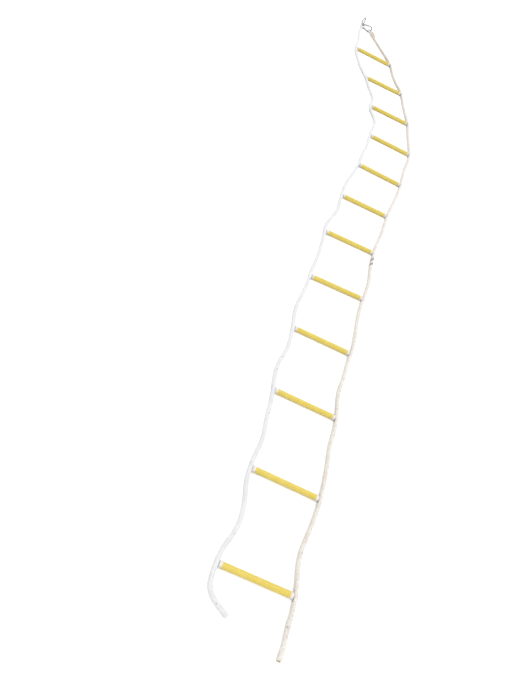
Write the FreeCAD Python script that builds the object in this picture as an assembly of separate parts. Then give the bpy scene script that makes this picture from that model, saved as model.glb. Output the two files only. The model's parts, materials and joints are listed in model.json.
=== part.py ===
import FreeCAD, Part
import math
import os

from FreeCAD import Placement, Rotation, Vector

# Escape rope ladder, lying at its full length on a floor. Millimetres, +Z up, floor at z = 0.
# The ladder runs along Y with its hooks at +Y; the origin is under the middle of its hard parts.

# Rungs
RUNG_COUNT = 12
TUBE_LENGTH = 292.0
TUBE_R = 13.0            # over the ribs
TUBE_BORE_R = 10.0
RIB_COUNT = 14
RIB_DEPTH = 0.9
RIB_TOP_SHARE = 0.55     # part of the pitch that the rib's top takes
COLLAR_LENGTH = 13.0
COLLAR_EDGE = 1.0
PLUG_LENGTH = 24.0
PLUG_R = 9.95
STUB_R = 6.0
STUB_LENGTH = 15.0

# Side ropes
ROPE_R = 9.0
EYE_LENGTH = 18.0        # the opened rope round the rung's stub, along the rung
EYE_CLEARANCE = 0.3      # between the eye and the rope above, which turn against each other
STUB_CLEARANCE = 0.1
COLLAR_GAP = 2.2         # collar face to the rope's eye, where a thin washer sits
ROPE_REACH = 24.0        # a rope's cuts at a rung start this far inside the collar's face
SOCKET_LENGTH = 100.0
ARC_SHARE = 0.45         # part of the shorter run that an arc may take

# End eyes of the ropes, laid from the rope's own strands
STRAND_R = 4.0
TUCKED_R = 5.0           # the right rope's end, tucked back beside it
LEFT_EYE_R = 16.0
RIGHT_EYE_R = 16.5
WHIPPING_WALL = 1.5
WHIPPING_CLEARANCE = 0.05

# Snap hooks: 10 mm wire, 100 mm long, pear-shaped
WIRE_R = 5.0
HOOK_LENGTH = 100.0
NARROW_R = 12.5          # centre line of the wire round the narrow end
WIDE_R = 21.5            # and round the wide end
GATE_R = 4.6
PIVOT_FROM_BEND = 7.0    # along the gate's side, from the narrow bend to the pivot
NOSE_FROM_BEND = 6.0     # from the wide bend to the nose
GATE_GAP = 0.6           # gate's free end to the nose
FORK_ROUND = 5.5         # rounding of the fork's end about the pivot
FORK_SLOT = 4.2
FORK_SLOT_BACK = 6.0     # how far the slot runs behind the pivot
GATE_HOLLOW_ROUND = 5.9  # hollow end of the gate, which turns round the fork
GATE_TONGUE = 3.6        # thickness of the tongue in the fork
GATE_TONGUE_HALF_WIDTH = 4.0
RIVET_R = 1.5
RIVET_HOLE_R = 1.55
RIVET_HEAD_R = 2.7
RIVET_HEAD = 1.0
NOSE_TONGUE = 3.0
NOSE_TONGUE_LENGTH = 6.5
NOSE_TONGUE_HALF_WIDTH = 3.4
NOSE_SLOT = 3.8
NOSE_SLOT_DEPTH = 8.0
BURIED = 2.0             # how far a joined bar runs into the piece that it belongs to
WIDE_CUT = 12.0          # half width of a cut that goes right across the wire
TALL_CUT = 30.0          # height of a cut that goes right through it
SPRING_FROM_HOLLOW = 4.0  # from the gate's hollow end to the spring
SPRING_BORE_R = 2.2
SPRING_BORE_LENGTH = 17.0
SPRING_R = 1.7
SPRING_WIRE_R = 0.25
SPRING_LENGTH = 15.0
SPRING_PITCH = 1.6
HOOK_SPAN = HOOK_LENGTH - NARROW_R - WIDE_R - 2 * WIRE_R

# The hooks' places: centre of the narrow bend, heading in plan, rise along the hook, lean of its plane
HOOKS = {
    "left": {"centre": Vector(-303, 2383, 16.8), "heading": 93.0, "rise": 8.5, "lean": 112.0},
    "right": {"centre": Vector(-287, 2346, 16.8), "heading": -21.2, "rise": 7.4, "lean": 60.0},
}

# Routes of the rope centres, from the hooks down to the tails. Two points with z = JOINT_Z in a row
# are a joint: a rung is tied in at the middle of the run between them.
JOINT_Z = 13
LEFT_ROUTE = [
    (-306, 2318, 16), (-318, 2236, 10), (-311, 2143, 9), (-301, 2042, 9),
    (-308, 1943, 13), (-296, 1843, 13), (-264, 1745, 9), (-233, 1646, 9),
    (-179, 1556, 13), (-135, 1466, 13), (-100, 1365, 9), (-50, 1268, 9),
    (-62, 1179, 13), (-62, 1079, 13), (0, 975, 9), (-4, 872, 9),
    (-15, 792, 13), (-19, 692, 13), (-20, 600, 9), (-42, 492, 9),
    (-50, 388, 13), (-64, 288, 13), (-86, 196, 9), (-113, 92, 9),
    (-123, -12, 13), (-127, -112, 13), (-130, -205, 9), (-164, -305, 9),
    (-182, -402, 13), (-174, -502, 13), (-175, -602, 9), (-189, -702, 9),
    (-197, -799, 13), (-199, -899, 13), (-214, -1000, 9), (-230, -1095, 9),
    (-223, -1189, 13), (-213, -1289, 13), (-217, -1385, 9), (-246, -1480, 9),
    (-241, -1580, 13), (-229, -1680, 13), (-234, -1780, 9), (-224, -1885, 9),
    (-240, -1982, 13), (-248, -2082, 13), (-224, -2185, 9), (-226, -2285, 9),
    (-272, -2387, 13), (-280, -2483, 13), (-274, -2540, 9), (-238, -2580, 9), (-187, -2593, 9),
]
RIGHT_ROUTE = [
    (-208, 2292, 17), (-154, 2211, 9), (-96, 2124, 9), (-36, 2040, 9),
    (20, 1957, 13), (56, 1865, 13), (79, 1770, 9), (119, 1674, 9),
    (170, 1585, 13), (196, 1489, 13), (216, 1392, 9), (241, 1292, 9),
    (270, 1194, 13), (286, 1096, 13), (294, 996, 9), (309, 897, 9),
    (322, 798, 13), (326, 698, 13), (310, 600, 9), (297, 492, 9),
    (288, 386, 13), (280, 286, 13), (263, 188, 9), (244, 90, 9),
    (223, -7, 13), (209, -105, 13), (202, -205, 9), (185, -301, 9),
    (167, -396, 13), (159, -496, 13), (157, -597, 9), (164, -697, 9),
    (151, -796, 13), (135, -894, 13), (130, -996, 9), (133, -1099, 9),
    (131, -1201, 13), (115, -1299, 13), (112, -1400, 9), (94, -1497, 9),
    (102, -1598, 13), (108, -1698, 13), (101, -1802, 9), (108, -1904, 9),
    (100, -2006, 13), (92, -2106, 13), (76, -2208, 9), (52, -2311, 9),
    (62, -2412, 13), (66, -2508, 13), (65, -2572, 9), (60, -2630, 9), (48, -2682, 9),
]

# The ropes' end eyes: middle of the eye's far bend, middle of its near bend
LEFT_EYE = (Vector(-303, 2367, 16.8), Vector(-303, 2331, 16.8))
RIGHT_EYE = (Vector(-223.8, 2317.8, 17), Vector(-217, 2307.9, 17))
RIGHT_TAIL_LENGTH = 78.0
TAIL_OFFSET = 3.0                            # how far the tucked end lies outside the eye's strand
TAIL_BANDS = ((20.0, 14.0), (44.0, 14.0))    # start along the tail, and length
LEFT_BAND = (14.0, 26.0)                     # start below the rope's end, and length


def write(name, shape):
    """Write one node, and print its volume."""
    shape.exportStep("parts/" + name + ".step")
    print(name, "valid" if shape.isValid() else "NOT VALID", "solids", len(shape.Solids),
          "volume", round(shape.Volume))


def rod(start, direction, radius, length):
    """A plain cylinder from a point, along a direction."""
    return Part.makeCylinder(radius, length, start, direction)


# ---- ropes ----

def is_joint(route, i):
    """Whether the run from point i carries a rung."""
    return i + 1 < len(route) and route[i][2] == JOINT_Z and route[i + 1][2] == JOINT_Z and i > 0


def joint_middles(route):
    """The points where the rungs are tied in, from the top."""
    points = [Vector(*p) for p in route]
    return [(points[i] + points[i + 1]) * 0.5 for i in range(len(points)) if is_joint(route, i)]


def corner(before, point, after):
    """Start, middle and end of the arc that rounds a corner of the route, and its radius."""
    back = before - point
    ahead = after - point
    run = min(back.Length, ahead.Length)
    back.normalize()
    ahead.normalize()
    half_turn = (math.pi - back.getAngle(ahead)) / 2
    reach = ARC_SHARE * run
    radius = reach / math.tan(half_turn)
    inward = (back + ahead).normalize()
    middle = point + inward * (radius / math.cos(half_turn) - radius)
    return point + back * reach, middle, point + ahead * reach, radius


def rope_paths(route):
    """Split a rope's path at its joints: a list of edge lists, and the radii of the arcs."""
    points = [Vector(*p) for p in route]
    paths = [[]]
    radii = []
    here = points[0]
    for i in range(1, len(points)):
        if i + 1 < len(points):
            start, middle, end, radius = corner(points[i - 1], points[i], points[i + 1])
            radii.append(radius)
        else:
            start = points[i]
        if is_joint(route, i - 1):
            tie = (points[i - 1] + points[i]) * 0.5
            paths[-1].append(Part.LineSegment(here, tie).toShape())
            paths.append([Part.LineSegment(tie, start).toShape()])
        else:
            paths[-1].append(Part.LineSegment(here, start).toShape())
        if i + 1 < len(points):
            paths[-1].append(Part.Arc(start, middle, end).toShape())
            here = end
    return paths, radii


def tube(edges, radius, closed=False):
    """A round solid along a path of joined edges."""
    path = Part.Wire(edges)
    start = edges[0].valueAt(edges[0].FirstParameter)
    direction = edges[0].tangentAt(edges[0].FirstParameter)
    section = Part.Wire(Part.makeCircle(radius, start, direction))
    solid = path.makePipeShell([section], not closed, False)
    if closed:
        solid = Part.makeSolid(solid)
    if solid.Volume < 0:
        solid.reverse()
    full = math.pi * radius ** 2 * path.Length
    print("  tube length", round(path.Length, 1), "volume share", round(solid.Volume / full, 4))
    return solid


def rung_frame(k, ties):
    """Centre of rung k and the unit vector along it, left to right."""
    left, right = ties["left"][k], ties["right"][k]
    return (left + right) * 0.5, (right - left).normalize()


def outward(side, along):
    """Direction along the rung that leads out of it at a side."""
    return along if side == "right" else along * -1


def socket(centre, out):
    """What a rope that ends at a rung's eye leaves free, so that the eye can turn in it."""
    start = TUBE_LENGTH / 2 + COLLAR_LENGTH - ROPE_REACH
    return rod(centre + out * start, out, TUBE_R + EYE_CLEARANCE, SOCKET_LENGTH)


def eye_with_stub_hole(centre, out):
    """The rope opened round a rung's stub: added solid, and the hole in it."""
    collar_face = centre + out * (TUBE_LENGTH / 2 + COLLAR_LENGTH)
    eye = rod(collar_face + out * COLLAR_GAP, out, TUBE_R, EYE_LENGTH)
    hole = rod(collar_face, out, STUB_R + STUB_CLEARANCE, STUB_LENGTH + STUB_CLEARANCE)
    return eye, hole


def collar_zone(centre, out):
    """Room kept free round the end of the rung itself."""
    start = TUBE_LENGTH / 2 + COLLAR_LENGTH - ROPE_REACH
    return rod(centre + out * start, out, TUBE_R + STUB_CLEARANCE, ROPE_REACH + COLLAR_GAP)


def rope_piece(edges, side, ties, above, below):
    """A rope from the rung above it (or None) to the rung below it (or None)."""
    solid = tube(edges, ROPE_R)
    if above is not None:
        centre, along = rung_frame(above, ties)
        out = outward(side, along)
        eye, hole = eye_with_stub_hole(centre, out)
        solid = solid.cut(collar_zone(centre, out)).fuse(eye).cut(hole)
    if below is not None:
        centre, along = rung_frame(below, ties)
        solid = solid.cut(socket(centre, outward(side, along)))
    return largest(solid)


def largest(shape):
    """The biggest solid of a cut shape."""
    return max(shape.Solids, key=lambda solid: solid.Volume)


def loop(far, near, radius):
    """A closed flat loop of strand between two bends of one radius."""
    ahead = (far - near).normalize()
    across = Vector(ahead.y, -ahead.x, 0)
    right_far, left_far = far + across * radius, far - across * radius
    right_near, left_near = near + across * radius, near - across * radius
    edges = [
        Part.LineSegment(right_near, right_far).toShape(),
        Part.Arc(right_far, far + ahead * radius, left_far).toShape(),
        Part.LineSegment(left_far, left_near).toShape(),
        Part.Arc(left_near, near - ahead * radius, right_near).toShape(),
    ]
    return tube(edges, STRAND_R, closed=True)


def right_tail():
    """Where the right rope's tucked end starts, and the way it runs, back beside the rope."""
    far, near = RIGHT_EYE
    back = (near - far).normalize()
    across = Vector(-back.y, back.x, 0)
    return near + across * (RIGHT_EYE_R + TAIL_OFFSET), back


def top_piece(edges, side, ties):
    """The rope above the first rung with its end eye."""
    solid = rope_piece(edges, side, ties, None, 0)
    if side == "left":
        return solid.fuse(loop(*LEFT_EYE, LEFT_EYE_R))
    start, back = right_tail()
    tail = rod(start, back, TUCKED_R, RIGHT_TAIL_LENGTH)
    return solid.fuse(loop(*RIGHT_EYE, RIGHT_EYE_R)).fuse(tail)


def band(start, direction, inner, length):
    """A whipping: a short sleeve of twine."""
    outer = rod(start, direction, inner + WHIPPING_WALL, length)
    return outer.cut(rod(start, direction, inner, length))


def whippings():
    """The whipping of the left rope's eye, and the two bands on the right rope's tucked end."""
    top, below = Vector(*LEFT_ROUTE[0]), Vector(*LEFT_ROUTE[1])
    down = (below - top).normalize()
    start, length = LEFT_BAND
    write("whipping_left", band(top + down * start, down, ROPE_R + WHIPPING_CLEARANCE, length))
    foot, back = right_tail()
    inner = TUCKED_R + WHIPPING_CLEARANCE
    bands = [band(foot + back * at, back, inner, size) for at, size in TAIL_BANDS]
    write("whipping_right", Part.makeCompound(bands))


def ropes(ties):
    """Every rope piece: top, one per bay, and tail, on both sides."""
    for side, route in (("left", LEFT_ROUTE), ("right", RIGHT_ROUTE)):
        paths, radii = rope_paths(route)
        print(side, "rope radii", [round(r) for r in radii])
        write("rope_%s_top" % side, top_piece(paths[0], side, ties))
        for k in range(1, RUNG_COUNT):
            write("rope_%s_%02d" % (side, k), rope_piece(paths[k], side, ties, k - 1, k))
        write("rope_%s_tail" % side, rope_piece(paths[RUNG_COUNT], side, ties, RUNG_COUNT - 1, None))


# ---- rungs ----

def ribbed_outline():
    """Closed outline of the tube: rib tops on the full radius, hollows between them."""
    pitch = 2 * math.pi / RIB_COUNT
    edges = []

    def at(radius, angle):
        return Vector(-TUBE_LENGTH / 2, radius * math.sin(angle), -radius * math.cos(angle))

    for i in range(RIB_COUNT):
        rib = i * pitch
        half_top = RIB_TOP_SHARE * pitch / 2
        start, end = at(TUBE_R, rib - half_top), at(TUBE_R, rib + half_top)
        following = at(TUBE_R, rib + pitch - half_top)
        hollow = at(TUBE_R - RIB_DEPTH, rib + pitch / 2)
        edges.append(Part.Arc(start, at(TUBE_R, rib), end).toShape())
        edges.append(Part.Arc(end, hollow, following).toShape())
    return Part.Wire(edges)


def rung_tube():
    """Hollow ribbed tube, centred on the origin along X."""
    solid = Part.Face(ribbed_outline()).extrude(Vector(TUBE_LENGTH, 0, 0))
    return solid.cut(rod(Vector(-TUBE_LENGTH / 2, 0, 0), Vector(1, 0, 0), TUBE_BORE_R, TUBE_LENGTH))


def rung_cap():
    """The cap at the +X end: a plug in the tube, a collar, and the stub that the rope holds."""
    x_axis = Vector(1, 0, 0)
    face = TUBE_LENGTH / 2
    collar = rod(Vector(face, 0, 0), x_axis, TUBE_R, COLLAR_LENGTH)
    rims = [edge for edge in collar.Edges if edge.Closed]
    collar = collar.makeChamfer(COLLAR_EDGE, rims)
    plug = rod(Vector(face - PLUG_LENGTH, 0, 0), x_axis, PLUG_R, PLUG_LENGTH)
    stub = rod(Vector(face + COLLAR_LENGTH, 0, 0), x_axis, STUB_R, STUB_LENGTH)
    return collar.fuse(plug).fuse(stub).removeSplitter()


def rungs(ties):
    """Every rung where it lies: its tube, and its two caps."""
    whole_tube = rung_tube()
    cap = rung_cap()
    for k in range(RUNG_COUNT):
        centre, along = rung_frame(k, ties)
        place = Placement(centre, Rotation(Vector(1, 0, 0), along))
        turned = Placement(centre, Rotation(Vector(1, 0, 0), along * -1))
        tube_here, right_cap, left_cap = whole_tube.copy(), cap.copy(), cap.copy()
        tube_here.Placement = place
        right_cap.Placement = place
        left_cap.Placement = turned
        write("rung_tube_%02d" % (k + 1), tube_here)
        write("rung_caps_%02d" % (k + 1), Part.makeCompound([left_cap, right_cap]))


# ---- snap hooks, modelled flat: narrow bend on the origin, wide bend at +X, gate on +Y ----

SIDE_ANGLE = math.asin((WIDE_R - NARROW_R) / HOOK_SPAN)
GATE_WAY = Vector(math.cos(SIDE_ANGLE), math.sin(SIDE_ANGLE), 0)
GATE_OUT = Vector(-math.sin(SIDE_ANGLE), math.cos(SIDE_ANGLE), 0)
GATE_START = GATE_OUT * NARROW_R
SIDE_LENGTH = HOOK_SPAN * math.cos(SIDE_ANGLE)
PIVOT = GATE_START + GATE_WAY * PIVOT_FROM_BEND
NOSE = GATE_START + GATE_WAY * (SIDE_LENGTH - NOSE_FROM_BEND)
WIDE_CENTRE = Vector(HOOK_SPAN, 0, 0)
UP = Vector(0, 0, 1)


def plate(start, length, half_width, thickness):
    """A flat bar in the hook's plane, along the gate's side."""
    corners = [
        start - GATE_OUT * half_width,
        start + GATE_WAY * length - GATE_OUT * half_width,
        start + GATE_WAY * length + GATE_OUT * half_width,
        start + GATE_OUT * half_width,
    ]
    outline = Part.makePolygon(corners + corners[:1])
    outline.translate(Vector(0, 0, -thickness / 2))
    return Part.Face(outline).extrude(UP * thickness)


def across_pivot(radius, half_height):
    """A cylinder on the gate's pivot."""
    return rod(PIVOT - UP * half_height, UP, radius, 2 * half_height)


def spring_start():
    """Where the gate's spring starts in its bore."""
    return PIVOT + GATE_WAY * (GATE_HOLLOW_ROUND + SPRING_FROM_HOLLOW)


def hook_body():
    """The bent wire with the gate's fork at one end and the nose tongue at the other."""
    mirror_start = Vector(GATE_START.x, -GATE_START.y, 0)
    wide_top = WIDE_CENTRE + GATE_OUT * WIDE_R
    wide_bottom = Vector(wide_top.x, -wide_top.y, 0)
    fork_end = PIVOT + GATE_WAY * FORK_ROUND
    edges = [
        Part.LineSegment(fork_end, GATE_START).toShape(),
        Part.Arc(GATE_START, Vector(-NARROW_R, 0, 0), mirror_start).toShape(),
        Part.LineSegment(mirror_start, wide_bottom).toShape(),
        Part.Arc(wide_bottom, WIDE_CENTRE + Vector(WIDE_R, 0, 0), wide_top).toShape(),
        Part.LineSegment(wide_top, NOSE).toShape(),
    ]
    body = tube(edges, WIRE_R)
    fork_corners = plate(PIVOT, FORK_ROUND + BURIED, WIDE_CUT, TALL_CUT)
    fork_corners = fork_corners.cut(across_pivot(FORK_ROUND, TALL_CUT / 2))
    slot = plate(PIVOT - GATE_WAY * FORK_SLOT_BACK, FORK_SLOT_BACK + FORK_ROUND + BURIED,
                 WIDE_CUT, FORK_SLOT)
    body = body.cut(fork_corners).cut(slot).cut(across_pivot(RIVET_R, TALL_CUT / 2))
    tongue = plate(NOSE - GATE_WAY * NOSE_TONGUE_LENGTH, NOSE_TONGUE_LENGTH + BURIED,
                   NOSE_TONGUE_HALF_WIDTH, NOSE_TONGUE)
    return body.fuse(tongue)


def hook_gate():
    """The gate: a hollow rod with a tongue in the fork and a slot for the nose."""
    length = (NOSE - PIVOT).Length - GATE_GAP
    gate = rod(PIVOT, GATE_WAY, GATE_R, length).cut(across_pivot(GATE_HOLLOW_ROUND, TALL_CUT / 2))
    tongue_bar = plate(PIVOT, GATE_HOLLOW_ROUND + BURIED, GATE_TONGUE_HALF_WIDTH, GATE_TONGUE)
    tongue = tongue_bar.fuse(across_pivot(GATE_TONGUE_HALF_WIDTH, GATE_TONGUE / 2))
    gate = gate.fuse(tongue).cut(across_pivot(RIVET_HOLE_R, TALL_CUT / 2))
    slot_start = PIVOT + GATE_WAY * (length - NOSE_SLOT_DEPTH)
    gate = gate.cut(plate(slot_start, NOSE_SLOT_DEPTH + BURIED, WIDE_CUT, NOSE_SLOT))
    bore_start = spring_start() - GATE_WAY * (SPRING_BORE_LENGTH - SPRING_LENGTH) / 2
    return gate.cut(rod(bore_start, GATE_WAY, SPRING_BORE_R, SPRING_BORE_LENGTH))


def hook_rivet():
    """The gate's pin, with a flat head at each end."""
    pin = across_pivot(RIVET_R, WIRE_R)
    top_head = rod(PIVOT + UP * WIRE_R, UP, RIVET_HEAD_R, RIVET_HEAD)
    lower_head = rod(PIVOT - UP * (WIRE_R + RIVET_HEAD), UP, RIVET_HEAD_R, RIVET_HEAD)
    return pin.fuse(top_head).fuse(lower_head)


def hook_spring():
    """The coil in the gate's bore that closes the gate."""
    helix = Part.makeHelix(SPRING_PITCH, SPRING_LENGTH, SPRING_R)
    section = Part.Wire(Part.makeCircle(SPRING_WIRE_R, Vector(SPRING_R, 0, 0), Vector(0, 1, 0)))
    coil = Part.Wire(helix.Edges).makePipeShell([section], True, True)
    coil.Placement = Placement(spring_start(), Rotation(UP, GATE_WAY))
    return coil


def hook_placement(hook):
    """Stand a flat-drawn hook in its place: lean about its long axis, rise, then heading."""
    turn = Rotation(UP, hook["heading"])
    rise = Rotation(Vector(0, 1, 0), -hook["rise"])
    lean = Rotation(Vector(1, 0, 0), hook["lean"])
    return Placement(hook["centre"], turn.multiply(rise).multiply(lean))


def hooks():
    """Both snap hooks, four pieces each."""
    pieces = {"body": hook_body(), "gate": hook_gate(), "rivet": hook_rivet(), "spring": hook_spring()}
    for side, hook in HOOKS.items():
        place = hook_placement(hook)
        for name, piece in pieces.items():
            placed = piece.copy()
            placed.Placement = place.multiply(piece.Placement)
            write("hook_%s_%s" % (side, name), placed)
        print("hook", side, "pivot", place.multVec(PIVOT), "across", place.Rotation.multVec(UP),
              "along", place.Rotation.multVec(Vector(1, 0, 0)))


def main():
    os.makedirs("parts", exist_ok=True)
    ties = {"left": joint_middles(LEFT_ROUTE), "right": joint_middles(RIGHT_ROUTE)}
    ropes(ties)
    whippings()
    rungs(ties)
    hooks()
    for k in range(RUNG_COUNT):
        centre, along = rung_frame(k, ties)
        print("rung", k + 1, "centre", centre, "along", along)


main()
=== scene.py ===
import json
import math

import bpy
import numpy as np
from mathutils import Matrix, Vector


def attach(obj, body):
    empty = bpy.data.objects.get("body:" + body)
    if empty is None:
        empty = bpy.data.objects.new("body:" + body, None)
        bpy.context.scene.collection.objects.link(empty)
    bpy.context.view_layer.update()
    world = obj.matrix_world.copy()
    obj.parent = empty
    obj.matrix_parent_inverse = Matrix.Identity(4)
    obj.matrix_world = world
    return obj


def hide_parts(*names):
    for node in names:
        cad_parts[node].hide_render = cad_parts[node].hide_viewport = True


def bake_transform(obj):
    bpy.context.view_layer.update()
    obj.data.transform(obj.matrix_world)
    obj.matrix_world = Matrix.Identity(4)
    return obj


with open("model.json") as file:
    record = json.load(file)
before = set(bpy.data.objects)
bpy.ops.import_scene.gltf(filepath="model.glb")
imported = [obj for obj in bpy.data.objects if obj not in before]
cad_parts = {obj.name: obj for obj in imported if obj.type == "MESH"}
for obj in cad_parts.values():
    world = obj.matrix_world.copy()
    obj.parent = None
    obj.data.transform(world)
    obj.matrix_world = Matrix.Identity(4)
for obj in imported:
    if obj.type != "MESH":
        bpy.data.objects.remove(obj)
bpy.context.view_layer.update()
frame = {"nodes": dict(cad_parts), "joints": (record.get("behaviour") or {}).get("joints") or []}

# Escape rope ladder, lying at its full length. Metres, +Z up, hooks at +Y.

# ---- sizes ----

RUNG_COUNT = 12
COLLAR_FACE = 0.159          # from a rung's middle to its collar's outer face
ROPE_R = 0.009               # the declared rope
CROWN_R = 0.0094             # to the crowns of its strands, which stand a little proud
BRAID_DEPTH = 0.0009         # from a strand's crown down to the groove beside it
FLOOR_GAP = 0.0002           # the rope flattens this close to the floor
PLAITS = 10                  # strands each way; even, so that the pattern closes round the rope
LAY = 0.080                  # length in which a strand goes once round
RING_STEP = 0.0015
RING_POINTS = 36

# The rope opened round a rung's stub: two flat bundles, one over it and one under
BUNDLE_HALF_WIDTH = 0.0082
BUNDLE_REACH_IN = 0.0089     # towards the rung at the stub, where the bundles press on the collar
BUNDLE_REACH_LENGTH = 0.010
BUNDLE_HALF_THICKNESS = 0.0032
BUNDLE_OFFSET = 0.0095
LIP_START = 0.0040           # the halves close in from this far outside the rope's middle
LIP_WIDTH = 0.0010
BUNDLE_FLAT = 0.003          # half length of the stretch that is fully open
TWIST_START = 0.014          # the bundles stay level this far on each side of the stub
BLEND_REACH = 0.070          # the rope's points this far above and below each stub are looked up, and not used

# Washers between the collars and the ropes
WASHER_R = 0.0127
WASHER_HOLE_R = 0.0062
WASHER_THICKNESS = 0.0016
WASHER_EDGE = 0.0004
WASHER_GAP = 0.0002

# Where a rope leans on a washer, it is flattened to this distance from the rung's middle
LEAN_FACE = COLLAR_FACE + WASHER_GAP + WASHER_THICKNESS + 0.0002
LEAN_FADE = 0.003            # and the flat fades out over this distance beyond the washer's rim

STRAND_R = 0.0040            # strand of the end eyes
TUCKED_R = 0.0050            # the right rope's end, tucked back beside it
STRAND_PLAITS = 6
STRAND_LAY = 0.030
STRAND_DEPTH = 0.0005
STRAND_STEP = 0.0011
STRAND_POINTS = 20

JOINT_Z = 0.013

# Routes of the rope centres, from the hooks down to the tails
LEFT_ROUTE = [
    (-0.306, 2.318, 0.016), (-0.317, 2.236, 0.010), (-0.308, 2.143, 0.009), (-0.296, 2.042, 0.009),
    (-0.308, 1.943, 0.013), (-0.296, 1.843, 0.013), (-0.262, 1.745, 0.009), (-0.228, 1.646, 0.009),
    (-0.179, 1.556, 0.013), (-0.135, 1.466, 0.013), (-0.100, 1.365, 0.009), (-0.050, 1.268, 0.009),
    (-0.062, 1.179, 0.013), (-0.062, 1.079, 0.013), (0.006, 0.975, 0.009), (0.000, 0.872, 0.009),
    (-0.015, 0.792, 0.013), (-0.019, 0.692, 0.013), (-0.020, 0.600, 0.009), (-0.042, 0.492, 0.009),
    (-0.050, 0.388, 0.013), (-0.064, 0.288, 0.013), (-0.086, 0.196, 0.009), (-0.113, 0.092, 0.009),
    (-0.123, -0.012, 0.013), (-0.127, -0.112, 0.013), (-0.123, -0.205, 0.009), (-0.158, -0.305, 0.009),
    (-0.182, -0.402, 0.013), (-0.174, -0.502, 0.013), (-0.175, -0.602, 0.009), (-0.182, -0.702, 0.009),
    (-0.197, -0.799, 0.013), (-0.199, -0.899, 0.013), (-0.214, -1.000, 0.009), (-0.230, -1.095, 0.009),
    (-0.223, -1.189, 0.013), (-0.213, -1.289, 0.013), (-0.217, -1.385, 0.009), (-0.246, -1.480, 0.009),
    (-0.241, -1.580, 0.013), (-0.229, -1.680, 0.013), (-0.229, -1.780, 0.009), (-0.219, -1.885, 0.009),
    (-0.240, -1.982, 0.013), (-0.248, -2.082, 0.013), (-0.224, -2.185, 0.009), (-0.226, -2.285, 0.009),
    (-0.272, -2.387, 0.013), (-0.280, -2.483, 0.013), (-0.273, -2.527, 0.009), (-0.243, -2.561, 0.009),
    (-0.184, -2.596, 0.009),
]
RIGHT_ROUTE = [
    (-0.208, 2.292, 0.017), (-0.149, 2.211, 0.009), (-0.090, 2.124, 0.009), (-0.032, 2.040, 0.009),
    (0.020, 1.957, 0.013), (0.056, 1.865, 0.013), (0.079, 1.770, 0.009), (0.119, 1.674, 0.009),
    (0.170, 1.585, 0.013), (0.196, 1.489, 0.013), (0.216, 1.392, 0.009), (0.241, 1.292, 0.009),
    (0.270, 1.194, 0.013), (0.286, 1.096, 0.013), (0.294, 0.996, 0.009), (0.309, 0.897, 0.009),
    (0.322, 0.798, 0.013), (0.326, 0.698, 0.013), (0.308, 0.600, 0.009), (0.295, 0.492, 0.009),
    (0.288, 0.386, 0.013), (0.280, 0.286, 0.013), (0.262, 0.188, 0.009), (0.244, 0.090, 0.009),
    (0.223, -0.007, 0.013), (0.209, -0.105, 0.013), (0.202, -0.205, 0.009), (0.185, -0.301, 0.009),
    (0.167, -0.396, 0.013), (0.159, -0.496, 0.013), (0.157, -0.597, 0.009), (0.164, -0.697, 0.009),
    (0.151, -0.796, 0.013), (0.135, -0.894, 0.013), (0.130, -0.996, 0.009), (0.133, -1.099, 0.009),
    (0.131, -1.201, 0.013), (0.115, -1.299, 0.013), (0.110, -1.400, 0.009), (0.092, -1.497, 0.009),
    (0.102, -1.598, 0.013), (0.108, -1.698, 0.013), (0.096, -1.802, 0.009), (0.103, -1.904, 0.009),
    (0.100, -2.006, 0.013), (0.092, -2.106, 0.013), (0.072, -2.208, 0.009), (0.048, -2.311, 0.009),
    (0.062, -2.412, 0.013), (0.066, -2.508, 0.013), (0.056, -2.572, 0.009), (0.057, -2.630, 0.009),
    (0.047, -2.682, 0.009),
]
ROUTES = {"left": LEFT_ROUTE, "right": RIGHT_ROUTE}

# How long the rope stays open above and below each joint, and how far its bundles twist there
OPEN = {"left": (0.025, 0.031), "right": (0.024, 0.027)}
TWIST = {"left": (8.0, 12.0), "right": (6.0, -8.0)}

# End eyes: middle of the far bend, middle of the near bend, radius of the strand's centre line
EYES = {
    "left": (Vector((-0.303, 2.367, 0.0168)), Vector((-0.303, 2.331, 0.0168)), 0.0160),
    "right": (Vector((-0.2238, 2.3178, 0.017)), Vector((-0.217, 2.3079, 0.017)), 0.0165),
}
TAIL_OFFSET = 0.003          # the tucked end lies this far outside the eye's strand
TUCKED_LENGTH = 0.070

# Twine wound round the left rope below its eye, and in two bands round the tucked end
TWINE_PITCH = 0.0012
TWINE_WALL = 0.0014
TWINE_POINTS = 28
WHIPPING_START = 0.014
WHIPPING_LENGTH = 0.026
BANDS = (("blue", 0.014), ("yellow", 0.037))
BAND_LENGTH = 0.014
WHIPPING_BITE = 0.0002       # how far the twine sinks into the rope
BAND_BITE = 0.0001           # and into the tucked end

# Yarns at the cut ends
YARN_R = 0.0014
TIP_YARN_R = 0.0012
YARN_LENGTH = 0.0035
YARN_SIDES = 10

# Two dark bands on the right rope below this rung: distance below the joint, and half length
MARKED_RUNG = 7
MARKS = ((0.060, 0.014), (0.100, 0.011))
MARK_SLANT = 0.008
MARK_EDGE = 0.003
MARK_DARK = 0.95             # on one family of strands
MARK_FAINT = 0.55            # and on the other

# The right rope is darker brown on the side that faces the rungs, and more so in its top part: painted
# shade on that side, with some stain
STAIN_AND_SHADE_LEAST = 0.12
STAIN_AND_SHADE_MORE = 0.6
STAIN_AND_SHADE_FULL_LENGTH = 0.35     # of rope from its top end
STAIN_AND_SHADE_FADE_LENGTH = 0.9

# The slack rope is fuller between the rungs, and more so at its cut end
SLACK_SWELL = 0.09
SLACK_START = 0.035          # from this far from a joint, and from twice as far from the top end
SLACK_LENGTH = 0.060
END_SWELL = 0.05
END_SWELL_LENGTH = 0.070

TRACER_STRENGTH = 0.65       # how dark the tracer yarns are
TRACER_SHARE = 0.12          # of the stretches of a tracer yarn's strand show it

# ---- camera ----

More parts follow.
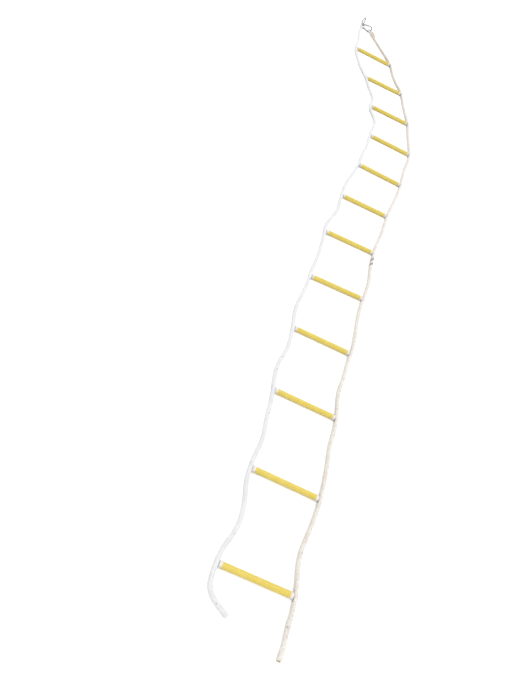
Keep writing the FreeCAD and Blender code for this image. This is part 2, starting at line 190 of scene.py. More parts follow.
CAMERA_PLACE = Vector((-0.734, -2.831, 1.988))
CAMERA_HEADING = 74.03       # degrees from +X, in plan
CAMERA_PITCH = 53.9          # degrees below the horizon
CAMERA_ROLL = 36.0
CAMERA_LENS = 25.71


def make_camera():
    """The camera, looking down along the ladder from above its foot."""
    heading = math.radians(CAMERA_HEADING)
    pitch = math.radians(CAMERA_PITCH)
    roll = math.radians(CAMERA_ROLL)
    ahead = Vector((math.cos(heading) * math.cos(pitch), math.sin(heading) * math.cos(pitch),
                    -math.sin(pitch)))
    level_right = Vector((math.sin(heading), -math.cos(heading), 0))
    level_up = level_right.cross(ahead)
    right = level_right * math.cos(roll) + level_up * math.sin(roll)
    up = level_up * math.cos(roll) - level_right * math.sin(roll)
    data = bpy.data.cameras.new("camera")
    data.lens = CAMERA_LENS
    data.clip_start = 0.05
    data.clip_end = 100.0
    camera = bpy.data.objects.new("camera", data)
    bpy.context.scene.collection.objects.link(camera)
    turn = Matrix((right, up, -ahead)).transposed().to_4x4()
    camera.matrix_world = Matrix.Translation(CAMERA_PLACE) @ turn
    bpy.context.scene.camera = camera


# ---- lines ----

def spline_line(route):
    """Points along the smooth line that has the route's points as its control points."""
    curve = bpy.data.curves.new("route", "CURVE")
    curve.dimensions = "3D"
    spline = curve.splines.new("NURBS")
    spline.points.add(len(route) - 1)
    for point, place in zip(spline.points, route):
        point.co = (*place, 1.0)
    spline.order_u = 3
    spline.use_endpoint_u = True
    spline.resolution_u = 32
    holder = bpy.data.objects.new("route", curve)
    bpy.context.scene.collection.objects.link(holder)
    bpy.context.view_layer.update()
    mesh = bpy.data.meshes.new_from_object(holder)
    points = np.array([vertex.co for vertex in mesh.vertices], float)
    bpy.data.objects.remove(holder)
    bpy.data.curves.remove(curve)
    bpy.data.meshes.remove(mesh)
    return points


def distances(points):
    """Distance of each point from the first, along the line."""
    steps = np.linalg.norm(np.diff(points, axis=0), axis=1)
    return np.concatenate(([0.0], np.cumsum(steps)))


def evenly(points, step):
    """The same line with its points at even distances, about a step apart."""
    at = distances(points)
    count = max(2, int(round(at[-1] / step)) + 1)
    wanted = np.linspace(0.0, at[-1], count)
    return np.column_stack([np.interp(wanted, at, points[:, i]) for i in range(3)])


def unit(vectors):
    """Rows made one long."""
    return vectors / np.linalg.norm(vectors, axis=1)[:, None]


def frames(points):
    """At each point of a line: the way ahead, the level way to its side, and the way up."""
    ahead = unit(np.gradient(points, axis=0))
    side = unit(np.cross(ahead, np.array([0.0, 0.0, 1.0])))
    return ahead, side, np.cross(side, ahead)


# ---- meshes ----

def smoothstep(x):
    """0 below 0, 1 above 1, and smooth between."""
    x = np.clip(x, 0.0, 1.0)
    return x * x * (3.0 - 2.0 * x)


def braid(around, along, plaits=PLAITS, lay=LAY):
    """The braid at a place (turns round the rope, metres along it): height from 0, in a groove, to 1,
    on a crown; the number of the strand on top; and the number of its showing stretch."""
    one = plaits * (around + along / lay)
    other = plaits * (around - along / lay)
    cell = np.mod(np.floor(one) + np.floor(other), 4)
    over = cell < 2
    across = np.mod(np.where(over, one, other), 1.0) - 0.5
    step = np.where(over, cell + np.mod(other, 1.0), cell - 2 + np.mod(one, 1.0)) / 2
    height = np.cos(math.pi * across) ** 0.7 * (0.35 + 0.65 * np.sin(math.pi * step))
    strand = np.where(over, np.mod(np.floor(one), plaits), plaits + np.mod(np.floor(other), plaits))
    stretch = np.floor(one) - np.floor(other)
    return height, strand, stretch


def scatter(values):
    """An even spread from 0 to 1 that looks random, the same for the same values."""
    return np.mod(np.sin(values * 12.9898) * 43758.5453, 1.0)


class Shells:
    """Closed tubes gathered into one mesh, with where each point lies on its rope."""

    def __init__(self):
        self.points, self.faces, self.uvs = [], [], []
        self.values = {"crown": [], "tracer": [], "stain_and_shade": []}
        self.count = 0

    def add(self, rings, around, along, crown, tracer=None, stain_and_shade=None):
        """rings: (n, m, 3) points. around: m + 1 turns, one per column and one to close."""
        n, m = rings.shape[:2]
        i, j = np.meshgrid(np.arange(n - 1), np.arange(m), indexing="ij")
        i, j = i.ravel(), j.ravel()
        after = (j + 1) % m
        corners = np.stack([i * m + j, i * m + after, (i + 1) * m + after, (i + 1) * m + j], axis=1)
        self.faces += (corners + self.count).tolist()
        u = np.stack([around[j], around[j + 1], around[j + 1], around[j]], axis=1)
        v = np.stack([along[i], along[i], along[i + 1], along[i + 1]], axis=1)
        self.uvs.append(np.stack([u, v], axis=2).reshape(-1, 2))
        self.points.append(rings.reshape(-1, 3))
        self.count += n * m
        values = {"crown": crown, "tracer": 0.0 if tracer is None else tracer,
                  "stain_and_shade": 0.0 if stain_and_shade is None else stain_and_shade}
        for key, value in values.items():
            values[key] = np.broadcast_to(value, (n, m))
            self.values[key].append(values[key].ravel())
        for row, turned in ((0, True), (n - 1, False)):
            at_end = {key: value[row] for key, value in values.items()}
            self.cap(rings[row], around[:m], along[row], at_end, turned)

    def cap(self, ring, around, along, values, turned):
        """Close an end. It has points of its own, so that it doesn't pull the tube's shading in."""
        order = np.arange(len(ring))
        if turned:
            order = order[::-1]
        self.faces.append((self.count + order).tolist())
        self.uvs.append(np.column_stack([around[order], np.full(len(ring), along)]))
        self.points.append(ring)
        for key, value in values.items():
            self.values[key].append(value)
        self.count += len(ring)

    def build(self, name, material):
        """The object."""
        mesh = bpy.data.meshes.new(name)
        mesh.from_pydata(np.concatenate(self.points).tolist(), [], self.faces)
        layer = mesh.uv_layers.new(name="Rope")
        layer.data.foreach_set("uv", np.concatenate(self.uvs).astype(np.float32).ravel())
        for key, value in self.values.items():
            attribute = mesh.attributes.new(key, "FLOAT", "POINT")
            attribute.data.foreach_set("value", np.concatenate(value).astype(np.float32))
        mesh.polygons.foreach_set("use_smooth", [len(face) == 4 for face in self.faces])
        mesh.materials.append(material)
        mesh.update()
        thing = bpy.data.objects.new(name, mesh)
        bpy.context.scene.collection.objects.link(thing)
        return thing


def mesh_object(name, points, faces, material, smooth=True):
    """An object from points and faces."""
    mesh = bpy.data.meshes.new(name)
    mesh.from_pydata([tuple(point) for point in points], [], faces)
    mesh.polygons.foreach_set("use_smooth", [smooth and len(face) == 4 for face in faces])
    mesh.materials.append(material)
    mesh.update()
    thing = bpy.data.objects.new(name, mesh)
    bpy.context.scene.collection.objects.link(thing)
    return thing


# ---- materials ----

class Nodes:
    """A material's nodes, made by short calls."""

    def __init__(self, name, roughness, metallic=0.0, **sockets):
        self.material = bpy.data.materials.new(name)
        self.material.use_nodes = True
        self.tree = self.material.node_tree
        self.shader = self.tree.nodes["Principled BSDF"]
        self.shader.inputs["Roughness"].default_value = roughness
        self.shader.inputs["Metallic"].default_value = metallic
        for key, value in sockets.items():
            self.shader.inputs[key.replace("_", " ")].default_value = value

    def new(self, kind, links=(), **settings):
        """A node of a kind, with its inputs from other nodes or from plain values."""
        node = self.tree.nodes.new("ShaderNode" + kind)
        for key, value in settings.items():
            setattr(node, key, value)
        for socket, source in dict(links).items():
            if hasattr(source, "links"):
                self.tree.links.new(source, node.inputs[socket])
            else:
                node.inputs[socket].default_value = source
        return node

    def place(self):
        """Where a point lies on the piece."""
        return self.new("TexCoord").outputs["Object"]

    def value_of(self, attribute):
        """A value that the mesh carries at its points."""
        return self.new("Attribute", attribute_name=attribute).outputs["Fac"]

    def noise(self, scale, detail=3.0):
        """Smooth noise in space."""
        links = {"Vector": self.place(), "Scale": scale, "Detail": detail}
        return self.new("TexNoise", links).outputs["Fac"]

    def ramp(self, source, stops):
        """Colours at places from 0 to 1."""
        node = self.new("ValToRGB", {"Fac": source})
        elements = node.color_ramp.elements
        for element, (position, colour) in zip(elements, (stops[0], stops[-1])):
            element.position = position
            element.color = (*colour, 1.0)
        for position, colour in stops[1:-1]:
            elements.new(position).color = (*colour, 1.0)
        return node.outputs["Color"]

    def grey_ramp(self, source, *stops):
        """Levels at places from 0 to 1."""
        return self.ramp(source, [(position, (level,) * 3) for position, level in stops])

    def mix(self, factor, one, other):
        """From one colour, at 0, to the other, at 1."""
        node = self.new("Mix", data_type="RGBA")
        for socket, source in ((0, factor), (6, one), (7, other)):
            if hasattr(source, "links"):
                self.tree.links.new(source, node.inputs[socket])
            elif socket == 0:
                node.inputs[socket].default_value = source
            else:
                node.inputs[socket].default_value = (*source, 1.0)
        return node.outputs[2]

    def maths(self, operation, one, other=0.0):
        """A sum on one or two values."""
        node = self.new("Math", operation=operation)
        for socket, source in ((0, one), (1, other)):
            if hasattr(source, "links"):
                self.tree.links.new(source, node.inputs[socket])
            else:
                node.inputs[socket].default_value = source
        return node.outputs[0]

    def colour(self, source):
        """Set the surface's colour."""
        self.tree.links.new(source, self.shader.inputs["Base Color"])

    def roughness(self, source):
        """Set the surface's roughness."""
        self.tree.links.new(source, self.shader.inputs["Roughness"])

    def bump(self, height, distance, strength):
        """Relief too fine for the mesh: a height, and how far one unit of it stands."""
        links = {"Height": height, "Distance": distance, "Strength": strength}
        node = self.new("Bump", links)
        self.tree.links.new(node.outputs["Normal"], self.shader.inputs["Normal"])


TRACER_COLOUR = (0.13, 0.13, 0.14)
GROOVE_REACH = 0.0040        # painted shade darkens the colour where something stands closer than this


def yarn_lines(nodes, scale):
    """Height of the fine yarns that run along both families of strands."""
    uv = nodes.new("UVMap", uv_map="Rope").outputs["UV"]
    parts = nodes.new("SeparateXYZ", {"Vector": uv})
    around = nodes.maths("MULTIPLY", parts.outputs["X"], scale * PLAITS)
    along = nodes.maths("MULTIPLY", parts.outputs["Y"], scale * PLAITS / LAY)
    total = nodes.maths("ADD", around, along)
    difference = nodes.maths("SUBTRACT", around, along)
    full_turn = 2 * math.pi
    one = nodes.maths("SINE", nodes.maths("MULTIPLY", total, full_turn))
    other = nodes.maths("SINE", nodes.maths("MULTIPLY", difference, full_turn))
    return nodes.maths("MULTIPLY", one, other)


def rope_material(name, crown, groove_shade, stain_and_shade, speckle):
    """Braided synthetic rope: strands, fine yarns, painted shade in the grooves between strands, stain
    patches and specks, dark tracer yarns, and on the right rope painted shade with some stain on its side
    towards the rungs.
    """
    nodes = Nodes(name, 0.8, Sheen_Weight=0.25, Sheen_Roughness=0.5)
    height = nodes.value_of("crown")
    # painted shade: the colour darkens from the strands' crowns down into the grooves between them
    shape = nodes.ramp(height, [(0.0, groove_shade), (0.5, crown), (1.0, crown)])
    patches = nodes.noise(22.0, 5.0)
    faded = nodes.mix(nodes.grey_ramp(patches, (0.40, 0.0), (0.75, 0.3)), shape, stain_and_shade)
    dots = nodes.grey_ramp(nodes.noise(230.0), (0.52, 0.0), (0.62, speckle))
    dotted = nodes.mix(dots, faded, stain_and_shade)
    # painted shade with some stain, on the right rope's side towards the rungs
    stained_and_shaded = nodes.mix(nodes.maths("MULTIPLY", nodes.value_of("stain_and_shade"), 0.8), dotted, stain_and_shade)
    nodes.colour(nodes.mix(nodes.value_of("tracer"), stained_and_shaded, TRACER_COLOUR))
    nodes.roughness(nodes.grey_ramp(patches, (0.3, 0.72), (0.7, 0.88)))
    fibres = nodes.noise(2600.0, 2.0)
    yarns = nodes.maths("MULTIPLY", yarn_lines(nodes, 3), 0.6)
    nodes.bump(nodes.maths("ADD", yarns, fibres), 0.00025, 0.7)
    return nodes.material


def plastic_material(name, light, dark, ridges=0.0, groove_shade=None):
    """Moulded or extruded plastic with faint scuffs, fine diagonal ridges and, given a groove shade
    colour, painted shade in its grooves where ambient occlusion finds a near surface.
    """
    nodes = Nodes(name, 0.45)
    mottle = nodes.noise(35.0, 6.0)
    base = nodes.ramp(mottle, [(0.3, dark), (0.62, light)])
    scuffs = nodes.grey_ramp(nodes.noise(240.0, 8.0), (0.62, 0.0), (0.78, 0.35))
    surface_tone = nodes.mix(scuffs, base, tuple(0.6 * part + 0.3 for part in light))
    if groove_shade:
        # painted shade: darker in the grooves, where ambient occlusion finds a near surface
        opening = nodes.new("AmbientOcclusion", {"Distance": GROOVE_REACH}, samples=8, only_local=True)
        painted_shade = nodes.grey_ramp(opening.outputs["AO"], (0.72, 0.95), (0.99, 0.0))
        surface_tone = nodes.mix(painted_shade, surface_tone, groove_shade)
    grain = nodes.noise(900.0, 3.0)
    if ridges:
        links = {"Vector": nodes.place(), "Scale": ridges, "Distortion": 0.6}
        wave = nodes.new("TexWave", links, bands_direction="DIAGONAL").outputs["Fac"]
        on_ridges = tuple(1.15 * part + 0.03 for part in light)
        surface_tone = nodes.mix(nodes.maths("MULTIPLY", wave, 0.35), surface_tone, on_ridges)
        grain = nodes.maths("ADD", nodes.maths("MULTIPLY", wave, 1.6), grain)
    nodes.colour(surface_tone)
    nodes.roughness(nodes.grey_ramp(mottle, (0.2, 0.36), (0.8, 0.56)))
    nodes.bump(grain, 0.00018, 0.6)
    return nodes.material


def steel_material(name, light, dark, roughness):
    """Dull steel wire: drawn streaks, dark patches and a little rust in the worst of them."""
    nodes = Nodes(name, roughness, metallic=0.85)
    patches = nodes.noise(60.0, 6.0)
    base = nodes.ramp(patches, [(0.32, dark), (0.66, light)])
    rust = nodes.grey_ramp(nodes.noise(150.0, 8.0), (0.66, 0.0), (0.78, 0.5))
    nodes.colour(nodes.mix(rust, base, (0.16, 0.10, 0.06)))
    nodes.roughness(nodes.grey_ramp(patches, (0.3, roughness + 0.2), (0.7, roughness - 0.08)))
    nodes.bump(nodes.noise(700.0, 4.0), 0.00012, 0.5)
    return nodes.material


def twine_material(name, light, dark):
    """Waxed twine: fibres across its turns."""
    nodes = Nodes(name, 0.7, Sheen_Weight=0.2)
    nodes.colour(nodes.ramp(nodes.noise(420.0, 4.0), [(0.3, dark), (0.65, light)]))
    nodes.bump(nodes.noise(1800.0, 3.0), 0.0002, 0.6)
    return nodes.material


# The groove colours paint shade into the grooves of ropes and rungs; the right rope's stain colour also
# paints shade on its side towards the rungs
MATERIALS = {
    "rope_left": rope_material("rope_white", (0.66, 0.662, 0.67), (0.52, 0.523, 0.535),
                               stain_and_shade=(0.47, 0.475, 0.49), speckle=0.45),
    "rope_right": rope_material("rope_cream", (0.69, 0.677, 0.65), (0.56, 0.52, 0.46),
                                stain_and_shade=(0.46, 0.37, 0.275), speckle=0.75),
    "rung": plastic_material("rung_yellow", (0.68, 0.555, 0.10), (0.62, 0.49, 0.06),
                             ridges=125.0, groove_shade=(0.27, 0.14, 0.01)),
    "cap": plastic_material("cap_beige", (0.63, 0.60, 0.56), (0.56, 0.53, 0.48)),
    "hook": steel_material("hook_steel", (0.50, 0.51, 0.52), (0.17, 0.18, 0.20), 0.42),
    "gate": steel_material("gate_steel", (0.30, 0.31, 0.33), (0.14, 0.15, 0.17), 0.38),
    "washer": plastic_material("washer_nylon", (0.64, 0.63, 0.61), (0.56, 0.55, 0.52)),
    "pin": steel_material("pin_steel", (0.42, 0.42, 0.43), (0.22, 0.22, 0.24), 0.35),
    "twine": twine_material("twine_natural", (0.68, 0.66, 0.64), (0.50, 0.48, 0.46)),
    "twine_blue": twine_material("twine_blue", (0.24, 0.22, 0.42), (0.12, 0.11, 0.26)),
    "twine_yellow": twine_material("twine_yellow", (0.72, 0.52, 0.16), (0.50, 0.34, 0.10)),
    "core_tan": twine_material("core_tan", (0.52, 0.38, 0.24), (0.30, 0.20, 0.12)),
    "core_grey": twine_material("core_grey", (0.66, 0.65, 0.64), (0.42, 0.41, 0.41)),
    "tip_orange": twine_material("tip_orange", (0.70, 0.42, 0.20), (0.46, 0.26, 0.12)),
}


# ---- ropes ----

def joint_ties(route):
    """Where the rungs are tied in, from the top: the middles of the level runs at the joints' height."""
    points = [Vector(place) for place in route]
    pairs = zip(points[1:], points[2:])
    return [(a + b) / 2 for a, b in pairs if abs(a.z - JOINT_Z) < 1e-6 and abs(b.z - JOINT_Z) < 1e-6]


def nearest(points, place):
    """Index of the point of a line that is nearest to a place."""
    return int(np.argmin(np.linalg.norm(points - np.array(place), axis=1)))


def tracers(strand, stretch, height):
    """Dark yarns that show here and there on one strand of each family."""
    carrier = (strand == 3) | (strand == PLAITS + 6)
    shown = scatter(np.floor(stretch / 4) + 7.0 * strand) < TRACER_SHARE
    return (carrier & shown & (height > 0.55)).astype(float)


def rung_side(side, number):
    """Middle of a rung and the level way out to one side, from its fold joint."""
    joint = next(j for j in frame["joints"] if j["name"] == "fold_%02d" % number)
    out = Vector(joint["axis"])
    if (out.x < 0) != (side == "left"):
        out = -out
    return Vector(joint["pos_m"]), out


class Rope:
    """One side rope: its smooth line, where it is tied to the rungs, and what marks it."""

    def __init__(self, side):
        self.side = side
        self.points = evenly(spline_line(ROUTES[side]), RING_STEP)
        self.along = distances(self.points)
        self.sideways, self.up = frames(self.points)[1:]
        self.joints = [nearest(self.points, tie) for tie in joint_ties(ROUTES[side])]
        middles = [(a + b) // 2 for a, b in zip(self.joints, self.joints[1:])]
        self.cuts = [0] + middles + [len(self.points) - 1]
        self.rungs = [rung_side(side, number) for number in range(1, RUNG_COUNT + 1)]

    def surface(self, around, rows):
        """Crown, tracer, and stain with painted shade, of the braid, at turns round the rope and rings
        along it.
        """
        along = self.along[rows][:, None]
        height, strand, stretch = braid(around, along)
        dark = TRACER_STRENGTH * tracers(strand, stretch, height)
        stain_and_shade = np.zeros_like(height)
        if self.side == "right":
            below = along - self.along[self.joints[MARKED_RUNG - 1]]
            for middle, half in MARKS:
                slanted = below - middle - MARK_SLANT * np.cos(2 * math.pi * around)
                band = smoothstep((half - np.abs(slanted)) / MARK_EDGE)
                dark = np.maximum(dark, band * np.where(strand < PLAITS, MARK_DARK, MARK_FAINT))
            # painted shade with some stain: darker on the side towards the rungs, and more so near the top
            # end
            facing = 0.5 + 0.5 * np.cos(2 * math.pi * around)
            fade = 1.0 - smoothstep((along - STAIN_AND_SHADE_FULL_LENGTH) / STAIN_AND_SHADE_FADE_LENGTH)
            stain_and_shade = (STAIN_AND_SHADE_LEAST + STAIN_AND_SHADE_MORE * fade) * smoothstep((facing - 0.45) / 0.5)
        return height, dark, stain_and_shade

    def radius(self, rows, crown):
        """Radius of the surface. The braid loosens between the rungs and at the cut end."""
        along = self.along[rows]
        held = np.append(self.along[self.joints], SLACK_START)
        free = np.abs(along[:, None] - held[None, :]).min(axis=1) - SLACK_START
        slack = SLACK_SWELL * smoothstep(free / SLACK_LENGTH)
        end = END_SWELL * smoothstep(1.0 - (self.along[-1] - along) / END_SWELL_LENGTH)
        return (CROWN_R - BRAID_DEPTH * (1.0 - crown)) * (1.0 + slack + end)[:, None]

    def to_space(self, rows, across, lift):
        """Points at distances across and up from the line, none of them in a washer or the floor."""
        rings = (self.points[rows][:, None, :]
                 + across[:, :, None] * self.sideways[rows][:, None, :]
                 + lift[:, :, None] * self.up[rows][:, None, :])
        for middle, out in self.rungs:
            offset = rings - np.array(middle)
            beyond = offset @ np.array(out)
            off_axis = np.linalg.norm(offset - beyond[:, :, None] * np.array(out), axis=2)
            beside = 1.0 - smoothstep((off_axis - WASHER_R) / LEAN_FADE)
            push = np.maximum(LEAN_FACE - beyond, 0.0) * beside
            rings += push[:, :, None] * np.array(out)
        rings[:, :, 2] = np.maximum(rings[:, :, 2], FLOOR_GAP)
        return rings

    def tube(self, shells, first, last):
        """The whole round rope between two rings."""
        rows = np.arange(first, last + 1)
        around = np.arange(RING_POINTS) / RING_POINTS
        crown, tracer, stain_and_shade = self.surface(around[None, :], rows)
        radius = self.radius(rows, crown)
        angle = 2 * math.pi * around[None, :]
        rings = self.to_space(rows, radius * np.cos(angle), radius * np.sin(angle))
        shells.add(rings, np.append(around, 1.0), self.along[rows], crown, tracer, stain_and_shade)

    def bundle(self, shells, first, last, joint, half):
        """Half of the opened rope between two rings: half 0 passes over the stub, half 1 under."""
        rows = np.arange(first, last + 1)
        from_joint = self.along[rows] - self.along[joint]
        above, below = OPEN[self.side]
        reach = np.where(from_joint < 0, above, below)
        opened = smoothstep((reach - np.abs(from_joint)) / (reach - BUNDLE_FLAT))[:, None]
        twist_above, twist_below = TWIST[self.side]
        most = np.where(from_joint < 0, twist_above, twist_below)
        share = smoothstep((np.abs(from_joint) - TWIST_START) / (reach - TWIST_START))
        twist = np.radians(most * share)[:, None] + math.pi * half

        turns = np.arange(RING_POINTS) / RING_POINTS
        angle = 2 * math.pi * turns[None, :]
        outer = turns <= 0.5
        folded = np.where(outer, turns, 1.0 - turns)
        crown, tracer, stain_and_shade = self.surface(folded[None, :] + twist / (2 * math.pi), rows)
        crown = np.where(outer[None, :], crown, 0.5)
        round_r = self.radius(rows, crown)
        shrink = round_r / CROWN_R
        flat_r = self.bundle_reach(from_joint, angle, half)
        across = ((1 - opened) * round_r + opened * flat_r * shrink) * np.cos(angle)
        half_round = np.where(outer[None, :], round_r * np.sin(angle), 0.0)
        flat_lift = BUNDLE_OFFSET + BUNDLE_HALF_THICKNESS * np.sin(angle) * shrink
        flat_lift = flat_lift * (1.0 - self.lip(flat_r * np.cos(angle), half) * ~outer[None, :])
        lift = (1 - opened) * half_round + opened * flat_lift
        rings = self.to_space(rows, across * np.cos(twist) - lift * np.sin(twist),
                              across * np.sin(twist) + lift * np.cos(twist))
        columns = np.append(folded, 0.0) + 0.5 * half
        shells.add(rings, columns, self.along[rows], crown, tracer, stain_and_shade)

    def towards_rung(self, half):
        """Sign of the direction to the rung, measured across a half of the opened rope."""
        inwards = -1 if self.side == "left" else 1
        return -inwards if half else inwards

    def lip(self, across, half):
        """Share of the way to the rope's middle that a half closes in, beyond the end of the stub."""
        beyond = -self.towards_rung(half) * across - LIP_START
        return smoothstep(beyond / LIP_WIDTH)

    def bundle_reach(self, from_joint, angle, half):
        """Half width of a bundle, which is more towards the rung, close to the stub."""
        towards_rung = self.towards_rung(half) * np.cos(angle) > 0
        near = np.exp(-(from_joint / BUNDLE_REACH_LENGTH) ** 2)[:, None]
        return BUNDLE_HALF_WIDTH + (BUNDLE_REACH_IN - BUNDLE_HALF_WIDTH) * near * towards_rung

    def piece(self, number):
        """The stretch of rope that crosses joint number, with the rope open round the rung's stub."""
        first, last = self.cuts[number - 1], self.cuts[number]
        joint = self.joints[number - 1]
        above, below = OPEN[self.side]
        start = joint - int(above / RING_STEP)
        end = joint + int(below / RING_STEP)
        shells = Shells()
        self.tube(shells, first, start)
        self.bundle(shells, start, end, joint, 0)
        self.bundle(shells, start, end, joint, 1)
        self.tube(shells, end, last)
        name = "rope_%s_piece_%02d" % (self.side, number)
        rope = shells.build(name, MATERIALS["rope_" + self.side])
        return rope, self.points[first:last + 1]

    def place(self, number, distance):
        """The point of the line at a distance below joint number."""
        index = self.joints[number - 1] + int(round(distance / RING_STEP))
        return self.points[max(0, min(index, len(self.points) - 1))]


def body_name(number):
    """Body of the bay under rung number, or of the top above the first rung."""
    return "bay_%02d" % number if number else "top"


def make_ropes(ropes):
    """Every rope piece, each crossing its joint, in place of the CAD rope nodes that it hides: its side,
    its number, the piece and its line.
    """
    made = []
    for side, rope in ropes.items():
        for number in range(1, RUNG_COUNT + 1):
            piece, line = rope.piece(number)
            start = tuple(rope.place(number, -BLEND_REACH))
            end = tuple(rope.place(number, BLEND_REACH))
            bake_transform(piece)
            nodes = ["rope_%s_%02d" % (side, number) if number < RUNG_COUNT else "rope_%s_tail" % side]
            if number == 1:
                nodes.append("rope_%s_top" % side)
            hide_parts(*nodes)
            made.append((side, number, piece, line))
    return made


# ---- what is on the ropes ----

def braided_tube(name, points, radius, material, closed=False):
    """A thinner braided strand along a line. A closed line ends where it starts."""
    line = evenly(points, STRAND_STEP)
    along = distances(line)
    sideways, up = frames(line)[1:]
    if closed:
        sideways[-1], up[-1] = sideways[0], up[0]
    around = np.arange(STRAND_POINTS) / STRAND_POINTS
    crown = braid(around[None, :], along[:, None], STRAND_PLAITS, STRAND_LAY)[0]
    size = radius - STRAND_DEPTH * (1.0 - crown)
    angle = 2 * math.pi * around[None, :]
    rings = (line[:, None, :] + (size * np.cos(angle))[:, :, None] * sideways[:, None, :]
             + (size * np.sin(angle))[:, :, None] * up[:, None, :])
    shells = Shells()
    shells.add(rings, np.append(around, 1.0), along, crown)
    return shells.build(name, material)


def eye_line(side):
    """The stadium-shaped line of a rope's end eye, from its near bend round the far one and back."""
    far, near, radius = EYES[side]
    ahead = (far - near).normalized()
    across = Vector((ahead.y, -ahead.x, 0))
    bend = np.linspace(0.0, math.pi, 41)
    round_far = [far + across * radius * math.cos(a) + ahead * radius * math.sin(a) for a in bend]
    round_near = [near - across * radius * math.cos(a) - ahead * radius * math.sin(a) for a in bend]
    line = round_near[20:] + round_far + round_near[:21]
    return np.array([tuple(point) for point in line])


def make_eyes():
    """The end eyes of both ropes."""
    found = {}
    for side in ROUTES:
        material = MATERIALS["rope_" + side]
        eye = braided_tube("eye_" + side, eye_line(side), STRAND_R, material, closed=True)
        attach(eye, "top")
        found[side] = eye
    return found


def tucked_line():
    """Line of the right rope's tucked end, back beside the rope."""
    far, near, radius = EYES["right"]
    back = (near - far).normalized()
    across = Vector((-back.y, back.x, 0))
    start = near + across * (radius + TAIL_OFFSET)
    return np.array([tuple(start), tuple(start + back * TUCKED_LENGTH)])


def wound_sleeve(name, line, inner, material):
    """A whipping: twine wound closely round a rope along a line."""
    fine = evenly(line, TWINE_PITCH / 6)
    along = distances(fine)
    sideways, up = frames(fine)[1:]
    around = np.arange(TWINE_POINTS) / TWINE_POINTS
    angle = 2 * math.pi * around
    wave = np.abs(np.sin(math.pi * (along[:, None] / TWINE_PITCH + around[None, :])))
    ends = smoothstep(np.minimum(along, along[-1] - along) / 0.0008)[:, None]
    size = inner + TWINE_WALL * ends * (0.55 + 0.45 * wave)
    rings = (fine[:, None, :] + (size * np.cos(angle)[None, :])[:, :, None] * sideways[:, None, :]
             + (size * np.sin(angle)[None, :])[:, :, None] * up[:, None, :])
    shells = Shells()
    shells.add(rings, np.append(around, 1.0), along, wave)
    return shells.build(name, material)


def stretch_of(rope, start, length):
    """Points of a rope's line from a distance below its top end."""
    rows = (rope.along >= start) & (rope.along <= start + length)
    return rope.points[rows]


def make_whippings(ropes):
    """The whipping below the left eye, and the two bands on the right rope's tucked end."""
    line = stretch_of(ropes["left"], WHIPPING_START, WHIPPING_LENGTH)
    left = wound_sleeve("whipping_left_wound", line, ROPE_R - WHIPPING_BITE, MATERIALS["twine"])
    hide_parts("whipping_left")
    start, end = tucked_line()
    way = (end - start) / np.linalg.norm(end - start)
    bands = []
    for name, at in BANDS:
        line = np.array([start + way * at, start + way * (at + BAND_LENGTH)])
        material = MATERIALS["twine_" + name]
        bands.append(wound_sleeve("whipping_right_" + name, line, TUCKED_R - BAND_BITE, material))
    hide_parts("whipping_right")
    for piece in [left, *bands]:
        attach(piece, "top")
    return {"left": [left], "right": bands}


def yarn_end(name, centre, ahead, radius, material, yarn_r=YARN_R):
    """The cut end of a rope: its yarns' ends in rings round a middle one, of uneven lengths."""
    side = Vector((ahead.y, -ahead.x, 0)).normalized()
    up = side.cross(ahead)
    points, faces = [], []
    sides = YARN_SIDES
    places = [(0.0, 0.0)]
    ring = 1
    while ring * 2.1 * yarn_r < radius - yarn_r * 0.6:
        count = 6 * ring
        for i in range(count):
            angle = 2 * math.pi * (i / count + 0.07 * ring)
            out = ring * 2.1 * yarn_r
            places.append((out * math.cos(angle), out * math.sin(angle)))
        ring += 1
    for i, (x, y) in enumerate(places):
        middle = centre + side * x + up * y
        tip = YARN_LENGTH * (0.45 + 0.55 * float(scatter(np.float64(i + 3.0))))
        lean = side * x * 0.12 + up * max(y, 0.0) * 0.12
        first = len(points)
        for along, size in ((-0.003, 1.0), (tip * 0.55, 1.0), (tip * 0.85, 0.82), (tip, 0.35)):
            for j in range(sides):
                angle = 2 * math.pi * j / sides
                offset = side * math.cos(angle) + up * math.sin(angle)
                leaning = lean * (along / YARN_LENGTH)
                points.append(middle + ahead * along + leaning + offset * yarn_r * size)
        for row in range(3):
            for j in range(sides):
                a, b = first + row * sides + j, first + row * sides + (j + 1) % sides
                faces.append((a, b, b + sides, a + sides))
        faces.append([first + j for j in range(sides - 1, -1, -1)])
        faces.append([first + 3 * sides + j for j in range(sides)])
    return mesh_object(name, points, faces, material)


def make_tail_ends(ropes):
    """The cut lower ends of both ropes."""
    found = {}
    for side, material in (("left", "core_grey"), ("right", "core_tan")):
        rope = ropes[side]
        way = Vector(rope.points[-1] - rope.points[-4]).normalized()
        tip = Vector(rope.points[-1])
        end = yarn_end("tail_end_" + side, tip, way, ROPE_R - 0.0016, MATERIALS[material])
        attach(end, body_name(RUNG_COUNT))
        found[side] = [end]
    return found


def make_tucked_end():
    """The right rope's end, tucked back beside the rope, with its loose orange tip."""
    line = tucked_line()
    tail = braided_tube("tucked_end", line, TUCKED_R, MATERIALS["rope_right"])
    way = Vector(line[1] - line[0]).normalized()
    tip = yarn_end("tucked_tip", Vector(line[1]), way, TUCKED_R, MATERIALS["tip_orange"], TIP_YARN_R)
    for piece in (tail, tip):
        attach(piece, "top")
    return [tail, tip]


# ---- rungs and hooks ----

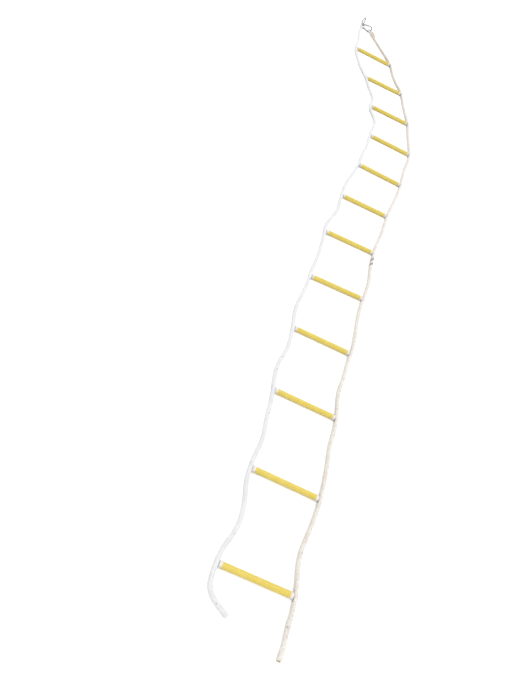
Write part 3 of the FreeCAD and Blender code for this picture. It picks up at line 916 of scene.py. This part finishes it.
def make_washer(name, middle, out):
    """A flat nylon washer between collar and rope, its edges chamfered."""
    count = 48
    level = Vector((-out.y, out.x, 0))
    up = Vector((0, 0, 1))
    half = WASHER_THICKNESS / 2
    profile = [(-half, WASHER_HOLE_R), (-half, WASHER_R - WASHER_EDGE), (-half + WASHER_EDGE, WASHER_R),
               (half - WASHER_EDGE, WASHER_R), (half, WASHER_R - WASHER_EDGE), (half, WASHER_HOLE_R)]
    points = []
    for depth, radius in profile:
        for i in range(count):
            angle = 2 * math.pi * i / count
            points.append(middle + out * depth + (level * math.cos(angle) + up * math.sin(angle)) * radius)
    faces = []
    for row in range(len(profile)):
        following = (row + 1) % len(profile)
        for i in range(count):
            after = (i + 1) % count
            faces.append((row * count + i, row * count + after,
                          following * count + after, following * count + i))
    return mesh_object(name, points, faces, MATERIALS["washer"], smooth=False)


def make_washers():
    """The washers of every rung."""
    for number in range(1, RUNG_COUNT + 1):
        for side in ROUTES:
            middle, out = rung_side(side, number)
            place = middle + out * (COLLAR_FACE + WASHER_GAP + WASHER_THICKNESS / 2)
            washer = make_washer("washer_%s_%02d" % (side, number), place, out)
            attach(washer, body_name(number))


def finish_cad_nodes():
    """Materials of the CAD nodes that show."""
    for name, node in frame["nodes"].items():
        if name.startswith("rung_tube"):
            material = MATERIALS["rung"]
        elif name.startswith("rung_caps"):
            material = MATERIALS["cap"]
        elif name.endswith("_gate"):
            material = MATERIALS["gate"]
        elif name.endswith("_body"):
            material = MATERIALS["hook"]
        else:
            material = MATERIALS["pin"]
        node.data.materials.clear()
        node.data.materials.append(material)


# ---- stage ----

FLOOR_HALF_SIZE = 40.0
SKY_STRENGTH = 1.12
KEY_STRENGTH = 1.2
KEY_ANGLE = 40.0             # degrees across, which keeps its shadows soft
KEY_DIRECTION = Vector((-0.05, -0.12, -1.0))


def make_floor():
    """Plain pale floor."""
    nodes = Nodes("floor", 0.9)
    nodes.colour(nodes.grey_ramp(nodes.noise(0.6), (0.0, 0.93), (1.0, 0.95)))
    size = FLOOR_HALF_SIZE
    points = [(-size, -size, 0), (size, -size, 0), (size, size, 0), (-size, size, 0)]
    mesh_object("floor", points, [(0, 1, 2, 3)], nodes.material)


def make_light():
    """Soft studio light, strongest from straight above."""
    world = bpy.data.worlds.new("studio")
    bpy.context.scene.world = world
    world.use_nodes = True
    background = world.node_tree.nodes["Background"]
    background.inputs["Color"].default_value = (1.0, 1.0, 1.0, 1.0)
    background.inputs["Strength"].default_value = SKY_STRENGTH
    sun = bpy.data.lights.new("key", "SUN")
    sun.energy = KEY_STRENGTH
    sun.angle = math.radians(KEY_ANGLE)
    lamp = bpy.data.objects.new("key", sun)
    lamp.rotation_euler = KEY_DIRECTION.to_track_quat("-Z", "Y").to_euler()
    bpy.context.scene.collection.objects.link(lamp)
    bpy.context.scene.view_settings.view_transform = "Standard"


# ---- the scene ----

make_camera()
ropes = {side: Rope(side) for side in ROUTES}
rope_pieces = make_ropes(ropes)
eyes = make_eyes()
whippings = make_whippings(ropes)
tucked = make_tucked_end()
tail_ends = make_tail_ends(ropes)
make_washers()
finish_cad_nodes()
make_floor()
make_light()
